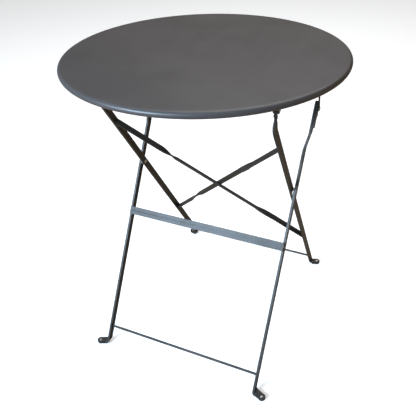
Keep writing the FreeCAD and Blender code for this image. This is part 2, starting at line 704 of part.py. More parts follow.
# ---------------------------------------------------------------- top sheet


def top_body():
    """The pressed round sheet, its edge rolled down and under into an open roll."""
    body = doc.addObject("PartDesign::Body", "TopSheet")
    sketch = sketch_on(body, "XZ_Plane", "TopProfile")
    roll = size("roll_radius")
    gauge = size("sheet_gauge")
    surface = size("table_height")
    centre = Vector(top_radius - roll, surface - roll, 0)
    end_angle = math.radians(90 - size("roll_turn"))
    outward = Vector(math.cos(end_angle), math.sin(end_angle), 0)
    outside = Part.Circle(centre, Vector(0, 0, 1), roll)
    inside = Part.Circle(centre, Vector(0, 0, 1), roll - gauge)
    outer_end = centre + outward * roll
    inner_end = centre + outward * (roll - gauge)
    outline = [
        Part.LineSegment(Vector(0, surface, 0), centre + Vector(0, roll, 0)),
        Part.ArcOfCircle(outside, end_angle, math.pi / 2),
        Part.LineSegment(outer_end, inner_end),
        Part.ArcOfCircle(inside, end_angle, math.pi / 2),
        Part.LineSegment(centre + Vector(0, roll - gauge, 0), Vector(0, surface - gauge, 0)),
        Part.LineSegment(Vector(0, surface - gauge, 0), Vector(0, surface, 0)),
    ]
    for piece in outline:
        sketch.addGeometry(piece, False)
    outer_bend = sketch.addConstraint(Sketcher.Constraint("Radius", 1, roll))
    sketch.setExpression(f"Constraints[{outer_bend}]", "Sizes.roll_radius")
    inner_bend = sketch.addConstraint(Sketcher.Constraint("Radius", 3, roll - gauge))
    sketch.setExpression(f"Constraints[{inner_bend}]", "Sizes.roll_radius - Sizes.sheet_gauge")
    spin = body.newObject("PartDesign::Revolution", "TopSpin")
    spin.Profile = sketch
    spin.ReferenceAxis = (sketch, ["V_Axis"])
    spin.Angle = 360
    return body


top_sheet = top_body()
top_sheet.Placement = at(0, top_centre_y, 0)
node(top_sheet, "top_sheet")

# ---------------------------------------------------------------- rails, clevises and lugs

ear_gauge = size("ear_gauge")
clevis_gap = eye_width / 2 + side_gap
rail_x = inner_x - clevis_gap - ear_gauge - size("rail_margin")
rail_front = hinge.y - size("rail_overrun")
rail_width = ("Sizes.outer_half_width + Sizes.joggle_step + Sizes.bar_gauge / 2 + Sizes.lug_gauge"
              " - Sizes.inner_half_width + Sizes.hinge_eye_width / 2 + Sizes.side_gap"
              " + Sizes.ear_gauge + Sizes.rail_margin")
rail = box("RailBar", rail_width, f"2 * Sizes.rail_overrun + {lug_behind_hinge}",
           "Sizes.rail_gauge", at(rail_x, rail_front, underside - size("rail_gauge")))
node(rail, "rail_right")
node(mirrored(rail, "RailLeft"), "rail_left")

rail_bottom = underside - size("rail_gauge")
ear_radius = size("ear_radius")


def clevis_shape():
    """A bent strip with two rounded ears that hold the hinge pin."""
    low = inner_x - clevis_gap - ear_gauge
    high = inner_x + clevis_gap
    ears = []
    for x in (low, high):
        plate = Part.makeBox(ear_gauge, 2 * ear_radius, rail_bottom - hinge.z,
                             Vector(x, hinge.y - ear_radius, hinge.z))
        ears.append(plate.fuse(round_hole(x, x + ear_gauge, hinge.y, hinge.z, ear_radius)))
    base = Part.makeBox(high + ear_gauge - low, 2 * ear_radius, ear_gauge,
                        Vector(low, hinge.y - ear_radius, rail_bottom - ear_gauge))
    clevis = ears[0].fuse([ears[1], base]).removeSplitter()
    return clevis.cut(round_hole(low - 5, high + 10, hinge.y, hinge.z, size("hinge_pin_radius")))


clevis_right = node(shape_object("ClevisRight", clevis_shape()), "hinge_clevis_right")
node(mirrored(clevis_right, "ClevisLeft"), "hinge_clevis_left")

pin_grip = 2 * (clevis_gap + ear_gauge)
hinge_pin = domed_rivet(size("hinge_pin_radius"), size("hinge_head_radius"), size("hinge_head_height"),
                        pin_grip)
hinge_pin_right = shape_object("HingePin", hinge_pin,
                               at(inner_x - clevis_gap - ear_gauge, hinge.y, hinge.z, ALONG_X))
node(both_sides(hinge_pin_right, "HingePins"), "hinge_pins")

lug_plate = box("LugPlate", "Sizes.lug_gauge", "2 * Sizes.lug_radius",
                "Sizes.stay_lug_drop - Sizes.rail_gauge", at(lug_x, lug.y - size("lug_radius"), lug.z))
lug_end = cylinder("LugEnd", "Sizes.lug_radius", "Sizes.lug_gauge", at(lug_x, lug.y, lug.z, ALONG_X))
lug_bore = cylinder("LugBore", "Sizes.small_rivet_radius", "4 * Sizes.lug_gauge",
                    at(lug_x - size("lug_gauge"), lug.y, lug.z, ALONG_X))
lug_right = node(cut("LugRight", fused("LugBlank", [lug_plate, lug_end]), lug_bore), "stay_lug_right")
node(mirrored(lug_right, "LugLeft"), "stay_lug_left")

# ---------------------------------------------------------------- stay plates on the outer legs

tail_low = size("knee_along") - size("plate_tail")
tail_high = size("outer_top_reach")
plate_tail = box("PlateTail", "Sizes.lug_gauge", "Sizes.bar_width",
                 "Sizes.outer_top_reach + Sizes.plate_tail - Sizes.knee_along",
                 outer_frame_place.multiply(at(plate_x, -half_bar, tail_low)))
plate_top = cylinder("PlateTop", "Sizes.bar_width / 2", "Sizes.lug_gauge",
                     outer_frame_place.multiply(at(plate_x, 0, tail_high, ALONG_X)))
plate_bulge = cylinder("PlateBulge", "Sizes.bulge_radius", "Sizes.lug_gauge",
                       outer_frame_place.multiply(at(plate_x, size("bulge_behind"),
                                                     size("bulge_along"), ALONG_X)))
plate_bore = cylinder("PlateBore", "Sizes.small_rivet_radius + Sizes.running_fit", "4 * Sizes.lug_gauge",
                      outer_frame_place.multiply(at(plate_x - size("lug_gauge"), -size("knee_ahead"),
                                                    size("knee_along"), ALONG_X)))
plate_right = node(cut("PlateRight", fused("PlateBlank", [plate_tail, plate_top, plate_bulge]), plate_bore),
                   "stay_plate_right")
node(mirrored(plate_right, "PlateLeft"), "stay_plate_left")

# ---------------------------------------------------------------- stays

stay_place = Placement(Vector(stay_x, lug.y, lug.z), Rotation(Vector(1, 0, 0), math.degrees(stay_open) + 90))


def stay_shape():
    """A round rod hanging down its own -Z from the lug, with a flattened eye at each end."""
    eye = size("stay_eye_radius")
    gauge = size("stay_eye_gauge")
    rod = Part.makeCylinder(size("stay_radius"), stay_length - 2 * eye + 3,
                            Vector(0, 0, -stay_length + eye - 1.5))
    solids = []
    for z in (0, -stay_length):
        solids.append(Part.makeCylinder(eye, gauge, Vector(-gauge / 2, 0, z), Vector(1, 0, 0)))
    stay = rod.fuse(solids).removeSplitter()
    rivet = size("small_rivet_radius")
    for z, radius in ((0, rivet + running_fit), (-stay_length, rivet)):
        stay = stay.cut(Part.makeCylinder(radius, 20, Vector(-10, 0, z), Vector(1, 0, 0)))
    return stay


stay_right = node(shape_object("StayRight", stay_shape(), stay_place), "stay_right")
node(mirrored(stay_right, "StayLeft"), "stay_left")

rivet_head = (size("stay_head_radius"), size("stay_head_height"))
stay_upper_grip = eye_outer + side_gap - lug_x
stay_upper = domed_rivet(size("small_rivet_radius"), *rivet_head, stay_upper_grip)
stay_upper_right = shape_object("StayUpperRivet", stay_upper, at(lug_x, lug.y, lug.z, ALONG_X))
node(both_sides(stay_upper_right, "StayUpperRivets"), "stay_upper_rivets")

# The lower pivot is left open: its rivet stays in the stay's eye and stops short of the plate.
stay_lower = Part.makeCylinder(size("small_rivet_radius"), size("stay_eye_gauge"))
stay_head = dome(*rivet_head)
stay_head.translate(Vector(0, 0, size("stay_eye_gauge")))
stay_lower = stay_lower.fuse(stay_head).removeSplitter()
lower_place = Placement(Vector(eye_inner, knee.y, knee.z), ALONG_X)
stay_lower_right = node(shape_object("StayLowerRight", stay_lower, lower_place), "stay_lower_rivet_right")
node(mirrored(stay_lower_right, "StayLowerLeft"), "stay_lower_rivet_left")

# ---------------------------------------------------------------- check and write

doc.recompute()
for obj in doc.Objects:
    if "Invalid" in obj.State or "Error" in obj.State:
        raise RuntimeError(f"{obj.Label} failed: {obj.State}")

os.makedirs("parts", exist_ok=True)
for obj in nodes:
    if obj.Shape.isNull() or not obj.Shape.isValid() or not obj.Shape.Solids:
        raise RuntimeError(f"{obj.Label} has no valid solid")
    obj.Shape.exportStep(f"parts/{obj.Label}.step")
    print(f"{obj.Label}: {len(obj.Shape.Solids)} solid(s), {obj.Shape.Volume / 1000:.2f} cm3")

print(f"pivot {tuple(round(value, 3) for value in pivot)}")
print(f"hinge {tuple(round(value, 3) for value in hinge)}")
print(f"stay lug {tuple(round(value, 3) for value in lug)}")
print(f"knee {tuple(round(value, 3) for value in knee)}")
print(f"stay length {stay_length:.2f}, lean outer {math.degrees(outer_lean):.3f} "
      f"inner {math.degrees(inner_lean):.3f}")
print(f"fold travel {math.degrees(fold_travel):.2f} degrees, top tilt {-math.degrees(folded_tilt):.2f}, "
      f"stay turn {math.degrees(stay_folded - stay_open):.3f}")
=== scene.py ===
"""Looks of the folding bistro table: finishes, welds, the rolled top and a small studio."""

import json
import logging
import math
from dataclasses import dataclass, field
from enum import Enum
from typing import Callable, Iterable, Sequence

import bmesh
import bpy
from mathutils import Matrix, Vector, noise


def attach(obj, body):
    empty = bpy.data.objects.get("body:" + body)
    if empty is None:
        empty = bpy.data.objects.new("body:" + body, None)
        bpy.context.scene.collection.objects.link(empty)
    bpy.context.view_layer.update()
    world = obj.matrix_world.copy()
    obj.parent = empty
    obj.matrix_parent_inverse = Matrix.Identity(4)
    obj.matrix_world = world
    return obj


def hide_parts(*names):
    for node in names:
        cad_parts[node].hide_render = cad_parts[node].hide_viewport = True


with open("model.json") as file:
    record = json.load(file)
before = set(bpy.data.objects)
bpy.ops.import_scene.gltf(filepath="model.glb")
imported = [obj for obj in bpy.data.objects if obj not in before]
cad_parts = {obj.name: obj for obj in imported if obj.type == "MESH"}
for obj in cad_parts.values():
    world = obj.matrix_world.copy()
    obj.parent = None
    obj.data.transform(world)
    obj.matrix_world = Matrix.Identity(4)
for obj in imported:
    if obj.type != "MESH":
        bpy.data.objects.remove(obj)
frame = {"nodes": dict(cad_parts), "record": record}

LOG = logging.getLogger("bistro_table")
MM = 0.001
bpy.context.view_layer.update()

Colour = tuple[float, float, float]
Socket = bpy.types.NodeSocket


class Slot(Enum):
    """The material slots that the table's record names."""

    TOP = "top_paint"
    FRAME = "frame_paint"
    RIVET = "painted_rivet"
    ZINC = "zinc_steel"
    NYLON = "black_nylon"


# ---------------------------------------------------------------- shader building


class NodeTree:
    """A short-hand for adding and linking shader nodes in one tree."""

    def __init__(self, tree: bpy.types.NodeTree) -> None:
        """Args:
            tree: the material's or the group's node tree.
        """
        self.tree = tree

    def add(self, kind: str, **settings: object) -> bpy.types.Node:
        """Adds a node.

        Args:
            kind: the node's class name without its ShaderNode prefix.
            settings: attributes to set on the node.

        Returns:
            The new node.
        """
        node = self.tree.nodes.new("ShaderNode" + kind)
        for name, value in settings.items():
            setattr(node, name, value)
        return node

    def feed(self, target: Socket, value: object) -> None:
        """Links a socket or sets a plain value.

        Args:
            target: the input that is fed.
            value: an output socket to link, or a value to set.
        """
        if isinstance(value, bpy.types.NodeSocket):
            self.tree.links.new(value, target)
        elif isinstance(value, tuple) and len(value) == 3 and target.type == "RGBA":
            target.default_value = (*value, 1.0)
        else:
            target.default_value = value

    def noise(self, place: Socket, scale: object, detail: float = 3.0, rough: float = 0.5) -> Socket:
        """A noise texture's value between 0 and 1.

        Args:
            place: the coordinates it is laid out in.
            scale: how many waves fit in a metre.
            detail: octaves.
            rough: how strong the finer octaves are.

        Returns:
            The noise value.
        """
        node = self.add("TexNoise")
        self.feed(node.inputs["Vector"], place)
        self.feed(node.inputs["Scale"], scale)
        node.inputs["Detail"].default_value = detail
        node.inputs["Roughness"].default_value = rough
        return node.outputs["Fac"]

    def remap(self, value: Socket, low: float, high: float, to_low: object = 0.0,
              to_high: object = 1.0) -> Socket:
        """A clamped, smooth remapping of one range to another.

        Args:
            value: the value to remap.
            low: start of the range taken.
            high: end of the range taken.
            to_low: result at the start.
            to_high: result at the end.

        Returns:
            The remapped value.
        """
        node = self.add("MapRange", interpolation_type="SMOOTHSTEP")
        self.feed(node.inputs["Value"], value)
        node.inputs["From Min"].default_value = low
        node.inputs["From Max"].default_value = high
        self.feed(node.inputs["To Min"], to_low)
        self.feed(node.inputs["To Max"], to_high)
        return node.outputs["Result"]

    def sum(self, kind: str, first: object, second: object) -> Socket:
        """One arithmetic step.

        Args:
            kind: the Math node's operation.
            first: its first value.
            second: its second value.

        Returns:
            The result.
        """
        node = self.add("Math", operation=kind)
        self.feed(node.inputs[0], first)
        self.feed(node.inputs[1], second)
        return node.outputs[0]

    def mix(self, share: object, first: object, second: object) -> Socket:
        """Two colours mixed.

        Args:
            share: how much of the second colour.
            first: the first colour.
            second: the second colour.

        Returns:
            The mixed colour.
        """
        node = self.add("Mix", data_type="RGBA", clamp_factor=True)
        self.feed(node.inputs["Factor"], share)
        self.feed(node.inputs["A"], first)
        self.feed(node.inputs["B"], second)
        return node.outputs["Result"]


class EffectGroups:
    """The effects that several finishes share, each built once as a node group."""

    def __init__(self) -> None:
        """Builds every group."""
        self.grain = self._grain()
        self.wear = self._wear()
        self.dust = self._dust()
        self.mottle = self._mottle()

    @staticmethod
    def _begin(name: str, inputs: dict[str, float], outputs: Sequence[str]) -> tuple[NodeTree, dict, dict]:
        """Starts a group with named sockets.

        Args:
            name: the group's name.
            inputs: its value inputs with their defaults.
            outputs: its value outputs.

        Returns:
            The tree, its inputs as sockets to read, and its outputs as sockets to feed.
        """
        group = bpy.data.node_groups.new(name, "ShaderNodeTree")
        group.interface.new_socket("Place", in_out="INPUT", socket_type="NodeSocketVector")
        for word, value in inputs.items():
            socket = group.interface.new_socket(word, in_out="INPUT", socket_type="NodeSocketFloat")
            socket.default_value = value
        for word in outputs:
            group.interface.new_socket(word, in_out="OUTPUT", socket_type="NodeSocketFloat")
        tree = NodeTree(group)
        entry = group.nodes.new("NodeGroupInput")
        leave = group.nodes.new("NodeGroupOutput")
        return tree, entry.outputs, leave.inputs

    def _grain(self) -> bpy.types.NodeTree:
        """Powder coat's fine orange peel over a slow waviness.

        Returns:
            The group, which puts out Height and Speckle.
        """
        tree, given, out = self._begin(
            "Grain", {"Peel Scale": 900.0, "Wave Scale": 60.0, "Wave Share": 0.3}, ("Height", "Speckle"))
        peel = tree.noise(given["Place"], given["Peel Scale"], 2.0, 0.55)
        wave = tree.noise(given["Place"], given["Wave Scale"], 2.0, 0.4)
        lifted = tree.sum("MULTIPLY", wave, given["Wave Share"])
        tree.feed(out["Height"], tree.sum("ADD", peel, lifted))
        speck = tree.noise(given["Place"], tree.sum("MULTIPLY", given["Peel Scale"], 1.7), 1.0, 0.5)
        tree.feed(out["Speckle"], tree.remap(speck, 0.58, 0.72))
        return tree.tree

    def _wear(self) -> bpy.types.NodeTree:
        """Where the coat has rubbed thin: convex edges, broken up by noise.

        Returns:
            The group, which puts out Edge and Scuff.
        """
        tree, given, out = self._begin("Wear", {"Breakup Scale": 120.0, "Amount": 0.5}, ("Edge", "Scuff"))
        rounded = tree.add("Bevel", samples=6)
        rounded.inputs["Radius"].default_value = 1.4 * MM
        facing = tree.add("VectorMath", operation="DOT_PRODUCT")
        tree.feed(facing.inputs[0], rounded.outputs["Normal"])
        tree.feed(facing.inputs[1], tree.add("NewGeometry").outputs["Normal"])
        ridge = tree.remap(facing.outputs["Value"], 0.90, 0.99, 1.0, 0.0)
        broken = tree.remap(tree.noise(given["Place"], given["Breakup Scale"], 4.0, 0.6), 0.45, 0.62)
        edge = tree.sum("MULTIPLY", ridge, broken)
        tree.feed(out["Edge"], tree.sum("MULTIPLY", edge, given["Amount"]))
        fine = tree.noise(given["Place"], tree.sum("MULTIPLY", given["Breakup Scale"], 4.0), 3.0, 0.65)
        scuff = tree.remap(fine, 0.62, 0.74)
        tree.feed(out["Scuff"], tree.sum("MULTIPLY", scuff, given["Amount"]))
        return tree.tree

    def _dust(self) -> bpy.types.NodeTree:
        """Fine dust that settles on what faces up.

        Returns:
            The group, which puts out Mask.
        """
        tree, given, out = self._begin("Dust", {"Patch Scale": 9.0, "Amount": 0.3}, ("Mask",))
        split = tree.add("SeparateXYZ")
        tree.feed(split.inputs[0], tree.add("NewGeometry").outputs["Normal"])
        up = tree.remap(split.outputs["Z"], 0.35, 0.98)
        patch = tree.noise(given["Place"], given["Patch Scale"], 5.0, 0.62)
        mask = tree.sum("MULTIPLY", up, tree.remap(patch, 0.3, 0.75))
        tree.feed(out["Mask"], tree.sum("MULTIPLY", mask, given["Amount"]))
        return tree.tree

    def _mottle(self) -> bpy.types.NodeTree:
        """Slow unevenness of a coat: cloudy patches and faint wiped streaks.

        Returns:
            The group, which puts out Cloud and Streak.
        """
        tree, given, out = self._begin(
            "Mottle", {"Cloud Scale": 6.0, "Streak Scale": 30.0}, ("Cloud", "Streak"))
        tree.feed(out["Cloud"], tree.noise(given["Place"], given["Cloud Scale"], 4.0, 0.55))
        stretch = tree.add("Mapping")
        tree.feed(stretch.inputs["Vector"], given["Place"])
        stretch.inputs["Rotation"].default_value = (0.0, 0.0, math.radians(28))
        stretch.inputs["Scale"].default_value = (1.0, 0.12, 1.0)
        streak = tree.noise(stretch.outputs["Vector"], given["Streak Scale"], 3.0, 0.6)
        tree.feed(out["Streak"], tree.remap(streak, 0.35, 0.7))
        return tree.tree


def place_group(tree: NodeTree, group: bpy.types.NodeTree, place: Socket,
                **values: float) -> dict[str, Socket]:
    """Puts a node group into a material with its own values.

    Args:
        tree: the material's tree.
        group: the group.
        place: coordinates for its Place input.
        values: its other inputs, with underscores for spaces.

    Returns:
        The group's outputs by name.
    """
    node = tree.add("Group", node_tree=group)
    tree.feed(node.inputs["Place"], place)
    for word, value in values.items():
        tree.feed(node.inputs[word.replace("_", " ").title()], value)
    return {socket.name: socket for socket in node.outputs}


@dataclass(frozen=True)
class PowderCoat:
    """A satin powder coat on steel."""

    name: str
    slot: Slot
    base: Colour
    pale: Colour
    steel: Colour = (0.30, 0.28, 0.26)
    roughness: float = 0.42
    specular: float = 0.5
    rough_spread: float = 0.10
    peel_scale: float = 900.0
    peel_height: float = 0.00006
    wave_share: float = 0.3
    wear_amount: float = 0.35
    dust_amount: float = 0.25
    dust: Colour = (0.30, 0.28, 0.25)
    cloud_scale: float = 6.0

    def material(self, groups: EffectGroups) -> bpy.types.Material:
        """Builds the material.

        Args:
            groups: the shared effects.

        Returns:
            The finished material.
        """
        made, tree, shader, place = new_material(self.name)
        mottle = place_group(tree, groups.mottle, place, cloud_scale=self.cloud_scale)
        grain = place_group(tree, groups.grain, place, peel_scale=self.peel_scale,
                            wave_share=self.wave_share)
        wear = place_group(tree, groups.wear, place, amount=self.wear_amount)
        dust = place_group(tree, groups.dust, place, amount=self.dust_amount)
        cloudy = tree.mix(tree.remap(mottle["Cloud"], 0.3, 0.7), self.base, self.pale)
        specked = tree.mix(tree.sum("MULTIPLY", grain["Speckle"], 0.35), cloudy, self.pale)
        rubbed = tree.mix(wear["Edge"], specked, self.steel)
        dusty = tree.mix(dust["Mask"], rubbed, self.dust)
        tree.feed(shader.inputs["Base Color"], dusty)
        varied = tree.remap(mottle["Streak"], 0.0, 1.0, self.roughness, self.roughness + self.rough_spread)
        worn = tree.sum("SUBTRACT", varied, tree.sum("MULTIPLY", wear["Edge"], 0.12))
        tree.feed(shader.inputs["Roughness"],
                  tree.sum("ADD", worn, tree.sum("MULTIPLY", dust["Mask"], 0.3)))
        tree.feed(shader.inputs["Metallic"], tree.sum("MULTIPLY", wear["Edge"], 0.6))
        shader.inputs["Specular IOR Level"].default_value = self.specular
        add_bump(tree, shader, grain["Height"], self.peel_height)
        return made


@dataclass(frozen=True)
class BareMetal:
    """Plated or bare steel of a rivet head."""

    name: str
    slot: Slot
    base: Colour
    stain: Colour
    roughness: float = 0.32
    stain_amount: float = 0.5
    scratch_scale: float = 400.0

    def material(self, groups: EffectGroups) -> bpy.types.Material:
        """Builds the material.

        Args:
            groups: the shared effects.

        Returns:
            The finished material.
        """
        made, tree, shader, place = new_material(self.name)
        mottle = place_group(tree, groups.mottle, place, cloud_scale=140.0, streak_scale=self.scratch_scale)
        wear = place_group(tree, groups.wear, place, breakup_scale=300.0, amount=1.0)
        tarnish = tree.remap(mottle["Cloud"], 0.42, 0.72, 0.0, self.stain_amount)
        tree.feed(shader.inputs["Base Color"], tree.mix(tarnish, self.base, self.stain))
        rough = tree.remap(mottle["Streak"], 0.0, 1.0, self.roughness, self.roughness + 0.18)
        tree.feed(shader.inputs["Roughness"], tree.sum("ADD", rough, tree.sum("MULTIPLY", tarnish, 0.3)))
        tree.feed(shader.inputs["Metallic"], tree.remap(tarnish, 0.0, 1.0, 1.0, 0.4))
        add_bump(tree, shader, tree.sum("ADD", mottle["Streak"], wear["Scuff"]), 0.00003)
        return made


@dataclass(frozen=True)
class Nylon:
    """Moulded black nylon of the glides."""

    name: str
    slot: Slot
    base: Colour = (0.018, 0.018, 0.019)
    scuffed: Colour = (0.07, 0.066, 0.06)

    def material(self, groups: EffectGroups) -> bpy.types.Material:
        """Builds the material.

        Args:
            groups: the shared effects.

        Returns:
            The finished material.
        """
        made, tree, shader, place = new_material(self.name)
        grain = place_group(tree, groups.grain, place, peel_scale=1600.0, wave_share=0.1)
        wear = place_group(tree, groups.wear, place, breakup_scale=260.0, amount=0.9)
        scuffs = tree.sum("MAXIMUM", wear["Edge"], wear["Scuff"])
        tree.feed(shader.inputs["Base Color"], tree.mix(scuffs, self.base, self.scuffed))
        tree.feed(shader.inputs["Roughness"], tree.remap(scuffs, 0.0, 1.0, 0.5, 0.72))
        add_bump(tree, shader, grain["Height"], 0.00004)
        return made


def new_material(name: str) -> tuple[bpy.types.Material, NodeTree, bpy.types.Node, Socket]:
    """Starts a node material.

    Args:
        name: the material's name.

    Returns:
        The material, its tree, its Principled shader and its object coordinates.
    """
    made = bpy.data.materials.new(name)
    made.use_nodes = True
    made.node_tree.nodes.clear()
    tree = NodeTree(made.node_tree)
    shader = tree.add("BsdfPrincipled")
    output = tree.add("OutputMaterial")
    tree.feed(output.inputs["Surface"], shader.outputs["BSDF"])
    return made, tree, shader, tree.add("TexCoord").outputs["Object"]


def add_bump(tree: NodeTree, shader: bpy.types.Node, height: Socket, distance: float) -> None:
    """Feeds a height through a Bump node into the shader's normal.

    Args:
        tree: the material's tree.
        shader: its Principled shader.
        height: the height value.
        distance: the real height of one unit, in metres.
    """
    bump = tree.add("Bump")
    bump.inputs["Distance"].default_value = distance
    tree.feed(bump.inputs["Height"], height)
    tree.feed(shader.inputs["Normal"], bump.outputs["Normal"])


# ---------------------------------------------------------------- finishes


@dataclass
class Palette:
    """The table's finishes, as Blender materials by material slot."""

    groups: EffectGroups = field(default_factory=EffectGroups)
    made: dict[Slot, bpy.types.Material] = field(default_factory=dict)

    def build(self) -> "Palette":
        """Makes every finish.

        Returns:
            The palette itself.
        """
        finishes = (
            PowderCoat("top_coat", Slot.TOP, base=(0.050, 0.048, 0.050), pale=(0.059, 0.056, 0.058),
                       roughness=0.40, rough_spread=0.03, peel_height=0.00004, dust_amount=0.05,
                       wear_amount=0.2, cloud_scale=3.2),
            PowderCoat("frame_coat", Slot.FRAME, base=(0.014, 0.013, 0.012), pale=(0.030, 0.028, 0.026),
                       roughness=0.38, specular=0.30, rough_spread=0.03, peel_height=0.00012,
                       peel_scale=1100.0, wear_amount=0.30, dust_amount=0.12),
            PowderCoat("rivet_coat", Slot.RIVET, base=(0.016, 0.016, 0.018), pale=(0.030, 0.030, 0.032),
                       roughness=0.5, peel_height=0.00008, dust_amount=0.1),
            BareMetal("zinc", Slot.ZINC, base=(0.62, 0.62, 0.60), stain=(0.20, 0.17, 0.14)),
            Nylon("nylon", Slot.NYLON),
        )
        for finish in finishes:
            self.made[finish.slot] = finish.material(self.groups)
            LOG.info("finish %s", finish.name)
        return self

    def dress(self, piece: bpy.types.Object, slot: Slot) -> None:
        """Gives a piece one finish.

        Args:
            piece: the object.
            slot: the material slot.
        """
        piece.data.materials.clear()
        piece.data.materials.append(self.made[slot])


# ---------------------------------------------------------------- mesh helpers


def mesh_object(name: str, build: Callable[[bmesh.types.BMesh], None],
                smooth_deg: float = 35.0) -> bpy.types.Object:
    """Makes an object from a bmesh builder.

    Args:
        name: the object's name.
        build: fills an empty bmesh.
        smooth_deg: edges sharper than this stay sharp.

    Returns:
        The linked object.
    """
    grid = bmesh.new()
    build(grid)
    bmesh.ops.recalc_face_normals(grid, faces=grid.faces)
    limit = math.radians(smooth_deg)
    for face in grid.faces:
        face.smooth = True
    for edge in grid.edges:
        edge.smooth = len(edge.link_faces) == 2 and edge.calc_face_angle(math.pi) < limit
    mesh = bpy.data.meshes.new(name)
    grid.to_mesh(mesh)
    grid.free()
    made = bpy.data.objects.new(name, mesh)
    bpy.context.scene.collection.objects.link(made)
    return made


def soften(piece: bpy.types.Object, width: float, segments: int = 2) -> None:
    """Rounds a CAD node's sharp edges with modifiers, leaving its own mesh alone.

    Args:
        piece: the CAD node.
        width: the rounding, in metres.
        segments: facets of the rounding.
    """
    weld = piece.modifiers.new("Join", "WELD")
    weld.merge_threshold = 0.000004
    bevel = piece.modifiers.new("Ease", "BEVEL")
    bevel.limit_method = "ANGLE"
    bevel.angle_limit = math.radians(40)
    bevel.width = width
    bevel.segments = segments
    bevel.harden_normals = True
    bevel.use_clamp_overlap = True


def ring_rows(grid: bmesh.types.BMesh, rows: Sequence[Sequence[Vector]], closed: bool,
              capped: bool) -> list[list[bmesh.types.BMVert]]:
    """Skins rows of points with quads.

    Args:
        grid: the bmesh to fill.
        rows: rows of the same length.
        closed: whether each row joins its own start.
        capped: whether the first and last rows are filled.

    Returns:
        The vertices, row by row.
    """
    made = [[grid.verts.new(point) for point in row] for row in rows]
    count = len(made[0])
    last = count if closed else count - 1
    for below, above in zip(made, made[1:]):
        for index in range(last):
            after = (index + 1) % count
            grid.faces.new((below[index], below[after], above[after], above[index]))
    if capped:
        grid.faces.new(list(reversed(made[0])))
        grid.faces.new(made[-1])
    return made


def sweep_bead(grid: bmesh.types.BMesh, path: Sequence[Vector], radius: float, seed: int) -> None:
    """Adds a lumpy weld bead along a line of points.

    Args:
        grid: the bmesh to fill.
        path: the bead's centre line.
        radius: its usual radius.
        seed: varies the lumps from bead to bead.
    """
    rows = []
    lengths = [0.0]
    for before, after in zip(path, path[1:]):
        lengths.append(lengths[-1] + (after - before).length)
    steps = max(10, int(lengths[-1] / (radius * 0.35)))
    for step in range(steps + 1):
        share = step / steps
        centre, heading = point_along(path, lengths, share)
        across = heading.orthogonal().normalized()
        other = heading.cross(across)
        ripple = 1 + 0.12 * math.cos(share * lengths[-1] / (radius * 0.9) * math.tau)
        ends = min(1.0, 6 * min(share, 1 - share) + 0.35)
        row = []
        for turn in range(10):
            angle = math.tau * turn / 10
            out = across * math.cos(angle) + other * math.sin(angle)
            lump = 0.22 * noise.noise((centre + out * radius) * 900 + Vector((seed, 0, 0)))
            row.append(centre + out * radius * ends * (ripple + lump))
        rows.append(row)
    ring_rows(grid, rows, True, True)


def point_along(path: Sequence[Vector], lengths: Sequence[float], share: float) -> tuple[Vector, Vector]:
    """A point and heading at a share of a polyline's length.

    Args:
        path: the line's points.
        lengths: the length up to each point.
        share: from 0 to 1.

    Returns:
        The point and its heading.
    """
    target = share * lengths[-1]
    for index in range(len(path) - 1):
        if target <= lengths[index + 1] or index == len(path) - 2:
            span = max(lengths[index + 1] - lengths[index], 1e-9)
            part = (target - lengths[index]) / span
            heading = (path[index + 1] - path[index]).normalized()
            return path[index].lerp(path[index + 1], part), heading
    return path[-1], (path[-1] - path[-2]).normalized()


def circle_path(centre: Vector, normal: Vector, radius: float, start: float = 0.0, turn: float = math.tau,
                steps: int = 24) -> list[Vector]:
    """Points round a circle or an arc.

    Args:
        centre: its middle.
        normal: its axis.
        radius: its radius.
        start: the first angle.
        turn: how far it goes round.
        steps: how many pieces.

    Returns:
        The points.
    """
    across = normal.orthogonal().normalized()
    other = normal.normalized().cross(across)
    points = []
    for step in range(steps + 1):
        angle = start + turn * step / steps
        points.append(centre + across * (math.cos(angle) * radius) + other * (math.sin(angle) * radius))
    return points


# ---------------------------------------------------------------- sub-assemblies


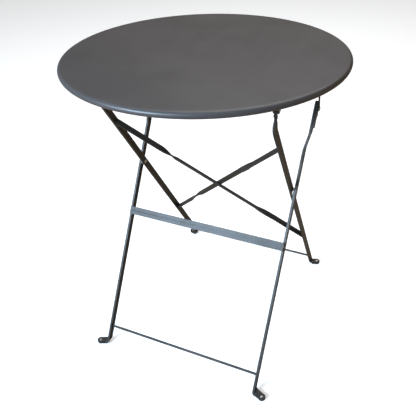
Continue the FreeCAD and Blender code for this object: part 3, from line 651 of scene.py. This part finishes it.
@dataclass
class TableTop:
    """The round sheet with its rolled edge."""

    radius: float = 300 * MM
    height: float = 735 * MM
    gauge: float = 1.5 * MM
    roll: float = 7 * MM
    roll_turn: float = 290.0
    centre_y: float = -8.197 * MM
    waviness: float = 0.22 * MM
    around: int = 240
    pieces: list[bpy.types.Object] = field(default_factory=list)

    def profile(self) -> list[tuple[float, float]]:
        """The section from the middle of the upper face, round the roll and back underneath.

        Returns:
            Pairs of radius and height.
        """
        outer = [(0.0, self.height)]
        flat = self.radius - self.roll
        outer += [(flat * share, self.height) for share in (0.12, 0.25, 0.4, 0.55, 0.7, 0.82, 0.92, 0.97)]
        steps = 26
        end = math.radians(90 - self.roll_turn)
        angles = [math.pi / 2 + (end - math.pi / 2) * step / steps for step in range(steps + 1)]
        middle = self.height - self.roll
        outer += [(flat + math.cos(a) * self.roll, middle + math.sin(a) * self.roll) for a in angles]
        inner_roll = self.roll - self.gauge
        inner = [(flat + math.cos(a) * inner_roll, middle + math.sin(a) * inner_roll)
                 for a in reversed(angles)]
        under = self.height - self.gauge
        inner += [(flat * share, under) for share in (0.97, 0.92, 0.82, 0.7, 0.55, 0.4, 0.25, 0.12)]
        inner.append((0.0, under))
        return outer + inner

    def wave(self, x: float, y: float) -> float:
        """How far the pressed sheet lies off the flat at a place.

        Args:
            x: the place's X.
            y: the place's Y.

        Returns:
            The offset downwards, never upwards, in metres.
        """
        reach = min(1.0, math.hypot(x, y) / self.radius)
        calm = (1 - reach ** 6)
        slow = noise.noise(Vector((x * 5.0, y * 5.0, 3.7)))
        quick = noise.noise(Vector((x * 13.0, y * 13.0, 8.1)))
        return self.waviness * calm * (-0.5 + 0.5 * slow + 0.16 * quick)

    def build(self, palette: Palette) -> None:
        """Makes the sheet and dresses it.

        Args:
            palette: the finishes.
        """
        points = self.profile()

        def fill(grid: bmesh.types.BMesh) -> None:
            """Turns the section round the top's axis.

            Args:
                grid: the bmesh to fill.
            """
            rows = []
            for radius, height in points[1:-1]:
                row = []
                for step in range(self.around):
                    angle = math.tau * step / self.around
                    x, y = radius * math.cos(angle), radius * math.sin(angle)
                    row.append(Vector((x, y + self.centre_y, height + self.wave(x, y))))
                rows.append(row)
            made = ring_rows(grid, rows, True, False)
            for ring, (_, height) in ((made[0], points[0]), (made[-1], points[-1])):
                middle = grid.verts.new((0, self.centre_y, height + self.wave(0, 0)))
                for step, vertex in enumerate(ring):
                    grid.faces.new((middle, vertex, ring[(step + 1) % self.around]))

        sheet = mesh_object("pressed_top", fill)
        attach(sheet, "tabletop")
        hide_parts("top_sheet")
        palette.dress(sheet, Slot.TOP)
        self.pieces.append(sheet)


@dataclass(frozen=True)
class LeaningFrame:
    """One of the two leg frames, as places measured from the leg pivots."""

    lean_deg: float
    pivot_y: float = 23.803 * MM
    pivot_z: float = 421 * MM

    def at(self, x: float, behind: float, along: float) -> Vector:
        """A place in the frame.

        Args:
            x: distance from the table's centre plane.
            behind: distance behind the frame's middle plane.
            along: distance up the leg from the pivot.

        Returns:
            The place.
        """
        lean = math.radians(self.lean_deg)
        y = self.pivot_y + along * math.sin(lean) + behind * math.cos(lean)
        z = self.pivot_z + along * math.cos(lean) - behind * math.sin(lean)
        return Vector((x, y, z))


@dataclass
class Welds:
    """The weld beads of one moving body, made as one mesh."""

    body: str
    bead: float = 1.1 * MM
    seams: list[Sequence[Vector]] = field(default_factory=list)

    def add(self, *path: Vector) -> None:
        """Adds a bead along a line and its mirror image on the table's other side.

        Args:
            path: the points of the bead's centre line.
        """
        self.seams.append(path)
        self.seams.append([Vector((-point.x, point.y, point.z)) for point in path])

    def build(self, palette: Palette) -> None:
        """Makes the beads and lets them ride on their body.

        Args:
            palette: the finishes.
        """
        def fill(grid: bmesh.types.BMesh) -> None:
            """Sweeps every seam.

            Args:
                grid: the bmesh to fill.
            """
            for seed, path in enumerate(self.seams):
                sweep_bead(grid, path, self.bead, seed)

        beads = mesh_object(f"welds_{self.body}", fill, 70.0)
        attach(beads, self.body)
        palette.dress(beads, Slot.FRAME)
        LOG.info("built %s with %d beads", beads.name, len(self.seams))


@dataclass
class WeldShop:
    """Every weld on the table: rod ends, brace ends, stay plates, rails, clevises and lugs."""

    outer: LeaningFrame = LeaningFrame(31.104)
    inner: LeaningFrame = LeaningFrame(-33.248)
    outer_face: float = 201.5 * MM
    inner_face: float = 192.5 * MM
    rod_radius: float = 3.0 * MM
    outer_rod: tuple[float, float] = (-204.86 * MM, 42.0 * MM)
    inner_rod: tuple[float, float] = (270.63 * MM, 44.5 * MM)
    brace_tops: tuple[float, float] = (189 * MM, 194 * MM)
    brace_bottom: float = -282 * MM
    brace_half_width: float = 6.0 * MM
    brace_half_cut: float = 2.8 * MM
    plate_face: float = 212.5 * MM
    plate_ends: tuple[float, float] = (152 * MM, 200 * MM)
    rear_seam_share: float = 0.35
    tail_drop: float = 1 * MM
    tail_share: float = 0.8
    half_bar: float = 8.0 * MM
    sheet_under: float = 733.5 * MM
    rail_under: float = 730.5 * MM
    rail_sides: tuple[float, float] = (187.5 * MM, 215.5 * MM)
    hinge_x: float = 195.0 * MM
    hinge_y: float = -116.197 * MM
    stitch_half: float = 10 * MM
    stitch_step: float = 20 * MM
    clevis_half: tuple[float, float] = (5.2 * MM, 7.0 * MM)
    lug_y: float = 102.256 * MM
    lug_faces: tuple[float, float] = (212.5 * MM, 215.5 * MM)

    def rod_end(self, welds: Welds, face: float, place: tuple[float, float]) -> None:
        """Adds the ring of weld where a rod meets a leg.

        Args:
            welds: the beads to add to.
            face: the leg's inner face, from the centre plane.
            place: the rod's Y and Z.
        """
        centre = Vector((face - welds.bead * 0.4, *place))
        welds.add(*circle_path(centre, Vector((1, 0, 0)), self.rod_radius + welds.bead * 0.3))

    def inner_welds(self) -> Welds:
        """The inner frame's rod ends and brace ends.

        Returns:
            Its beads.
        """
        welds = Welds("inner_frame")
        self.rod_end(welds, self.inner_face, self.inner_rod)
        x = self.inner_face - welds.bead * 0.3
        falling, rising = self.brace_tops
        for sign, along in ((-1, falling), (1, rising), (1, self.brace_bottom), (-1, self.brace_bottom)):
            for side in (-1, 1):
                height = along + side * self.brace_half_cut
                ends = [self.inner.at(sign * x, y, height)
                        for y in (-self.brace_half_width, self.brace_half_width)]
                welds.seams.append(ends)
        return welds

    def outer_welds(self) -> Welds:
        """The outer frame's rod ends and the edges of its stay plates.

        Returns:
            Its beads.
        """
        welds = Welds("outer_frame")
        self.rod_end(welds, self.outer_face, self.outer_rod)
        low, high = self.plate_ends
        for behind in (-self.half_bar, self.half_bar):
            top = high if behind < 0 else low + (high - low) * self.rear_seam_share
            welds.add(self.outer.at(self.plate_face, behind, low),
                      self.outer.at(self.plate_face, behind, top))
        tail = low - self.tail_drop
        welds.add(self.outer.at(self.plate_face, -self.half_bar * self.tail_share, tail),
                  self.outer.at(self.plate_face, self.half_bar * self.tail_share, tail))
        return welds

    def top_welds(self) -> Welds:
        """The stitches of the rails and the seams of the clevises and lugs.

        Returns:
            Their beads.
        """
        welds = Welds("tabletop", bead=1.0 * MM)
        half_x, half_y = self.clevis_half
        for side in (-1, 1):
            y = self.hinge_y + side * half_y
            welds.add(Vector((self.hinge_x - half_x, y, self.rail_under)),
                      Vector((self.hinge_x + half_x, y, self.rail_under)))
        for x in self.lug_faces:
            welds.add(Vector((x, self.lug_y - half_y, self.rail_under)),
                      Vector((x, self.lug_y + half_y, self.rail_under)))
        for x in self.rail_sides:
            for middle in (self.hinge_y + self.stitch_step, 0.0, self.lug_y - self.stitch_step):
                welds.add(Vector((x, middle - self.stitch_half, self.sheet_under)),
                          Vector((x, middle + self.stitch_half, self.sheet_under)))
        return welds

    def build(self, palette: Palette) -> None:
        """Makes every weld.

        Args:
            palette: the finishes.
        """
        for welds in (self.inner_welds(), self.outer_welds(), self.top_welds()):
            welds.build(palette)


@dataclass
class CadDresser:
    """Finishes for the CAD nodes that stay in view, with their sharp edges eased."""

    easing: dict[str, float] = field(default_factory=lambda: {
        "leg": 0.7 * MM, "brace": 0.5 * MM, "crossbar": 0.6 * MM, "rail": 0.5 * MM, "clevis": 0.4 * MM,
        "plate": 0.4 * MM, "lug": 0.4 * MM, "glides": 0.5 * MM, "washers": 0.3 * MM, "stay_right": 0.3 * MM,
        "stay_left": 0.3 * MM,
    })

    def width_for(self, name: str) -> float:
        """How much a node's edges are eased.

        Args:
            name: the CAD node.

        Returns:
            The rounding in metres, 0 for none.
        """
        if "rivet" in name or "pin" in name:
            return 0.0
        return next((width for word, width in self.easing.items() if word in name), 0.0)

    def build(self, palette: Palette) -> None:
        """Dresses every shown node.

        Args:
            palette: the finishes.
        """
        slots = {row["node"]: row["material_slot"] for row in frame["record"]["subparts"]}
        for name, piece in frame["nodes"].items():
            if piece.hide_render:
                continue
            palette.dress(piece, Slot(slots[name]))
            width = self.width_for(name)
            if width:
                soften(piece, width)
            LOG.info("dressed %s", name)


# ---------------------------------------------------------------- studio


@dataclass
class Studio:
    """A pale floor, soft lights and the camera."""

    camera_at: tuple[float, float, float] = (0.48049, -1.01397, 1.10325)
    right: tuple[float, float, float] = (0.90894, 0.41580, -0.03074)
    up: tuple[float, float, float] = (-0.21093, 0.52219, 0.82634)
    lens: float = 47.27
    floor_colour: Colour = (0.93, 0.93, 0.93)
    floor_patch: Colour = (0.92, 0.92, 0.92)
    floor_bounce: Colour = (0.38, 0.28, 0.19)
    floor_glow: float = 0.36
    pale_side: tuple[float, float, float] = (-0.50, -0.80, 0.33)
    room_pale: Colour = (0.38, 0.42, 0.45)
    room_dark: Colour = (0.17, 0.13, 0.09)

    def build(self) -> None:
        """Makes the floor, lights, world and camera."""
        self._floor()
        self._world()
        self._lights()
        self._camera()
        self._view()

    def _floor(self) -> None:
        """A wide plain floor: pale and faintly glowing where it's seen, darker as light on the table."""
        def fill(grid: bmesh.types.BMesh) -> None:
            """One large square.

            Args:
                grid: the bmesh to fill.
            """
            bmesh.ops.create_grid(grid, x_segments=1, y_segments=1, size=12.0)

        floor = mesh_object("floor", fill)
        made, tree, shader, place = new_material("floor_paint")
        seen = tree.add("LightPath").outputs["Is Camera Ray"]
        cloud = tree.mix(tree.noise(place, 3.0), self.floor_colour, self.floor_patch)
        tree.feed(shader.inputs["Base Color"], tree.mix(seen, self.floor_bounce, cloud))
        tree.feed(shader.inputs["Emission Strength"], tree.sum("MULTIPLY", seen, self.floor_glow))
        shader.inputs["Emission Color"].default_value = (1.0, 1.0, 1.0, 1.0)
        shader.inputs["Roughness"].default_value = 0.9
        shader.inputs["Specular IOR Level"].default_value = 0.1
        floor.data.materials.append(made)

    def _world(self) -> None:
        """A surrounding that lights softly from the front left, and is plain white where it's seen."""
        world = bpy.data.worlds.new("studio")
        world.use_nodes = True
        world.node_tree.nodes.clear()
        tree = NodeTree(world.node_tree)
        facing = tree.add("VectorMath", operation="DOT_PRODUCT")
        tree.feed(facing.inputs[0], tree.add("TexCoord").outputs["Generated"])
        facing.inputs[1].default_value = self.pale_side
        share = tree.remap(facing.outputs["Value"], -0.25, 0.95)
        room = tree.add("Background")
        seen = tree.add("LightPath").outputs["Is Camera Ray"]
        light = tree.mix(share, self.room_dark, self.room_pale)
        tree.feed(room.inputs["Color"], tree.mix(seen, light, (1.0, 1.0, 1.0)))
        tree.feed(tree.add("OutputWorld").inputs["Surface"], room.outputs[0])
        bpy.context.scene.world = world

    def _lights(self) -> None:
        """Soft boxes round the table."""
        self._area("key", (-0.87, -2.25, 1.4), (0, -0.1, 0.5), (1.2, 0.5), 130.0, (0.62, 0.80, 1.0))
        self._area("fill", (2.4, 0.5, 0.9), (0, 0, 0.4), (1.2, 1.2), 3.0, (1.0, 0.86, 0.70))
        self._area("overhead", (0.0, 1.4, 3.2), (0, 0.2, 0.5), (2.7, 2.7), 60.0, (1.0, 0.97, 0.95))

    def _area(self, name: str, place: Iterable[float], aim: Iterable[float],
              sides: tuple[float, float], watts: float, colour: Colour) -> None:
        """Adds one rectangular area light.

        Args:
            name: the light's name.
            place: where it stands.
            aim: what it points at.
            sides: its width and height, in metres.
            watts: its power.
            colour: its colour.
        """
        data = bpy.data.lights.new(name, "AREA")
        data.shape = "RECTANGLE"
        data.size, data.size_y = sides
        data.energy = watts
        data.color = colour
        lamp = bpy.data.objects.new(name, data)
        lamp.location = Vector(place)
        lamp.rotation_euler = (Vector(aim) - Vector(place)).to_track_quat("-Z", "Y").to_euler()
        bpy.context.scene.collection.objects.link(lamp)

    def _view(self) -> None:
        """Colours are shown as they are, with no film curve."""
        bpy.context.scene.view_settings.view_transform = "Standard"
        bpy.context.scene.view_settings.look = "None"

    def _camera(self) -> None:
        """The camera in front, to the right of and above the table."""
        data = bpy.data.cameras.new("view")
        data.lens = self.lens
        data.sensor_width = 36.0
        camera = bpy.data.objects.new("view", data)
        right = Vector(self.right).normalized()
        up = Vector(self.up)
        up = (up - right * up.dot(right)).normalized()
        back = right.cross(up)
        turn = Matrix((right, up, back)).transposed().to_4x4()
        camera.matrix_world = Matrix.Translation(Vector(self.camera_at)) @ turn
        bpy.context.scene.collection.objects.link(camera)
        bpy.context.scene.camera = camera


# ---------------------------------------------------------------- main


def main() -> None:
    """Builds the looks piece by piece."""
    logging.basicConfig(level=logging.INFO, format="%(message)s")
    palette = Palette().build()
    top = TableTop()
    top.build(palette)
    for piece in top.pieces:
        LOG.info("built %s", piece.name)
    CadDresser().build(palette)
    WeldShop().build(palette)
    Studio().build()


if __name__ == "__main__":
    main()
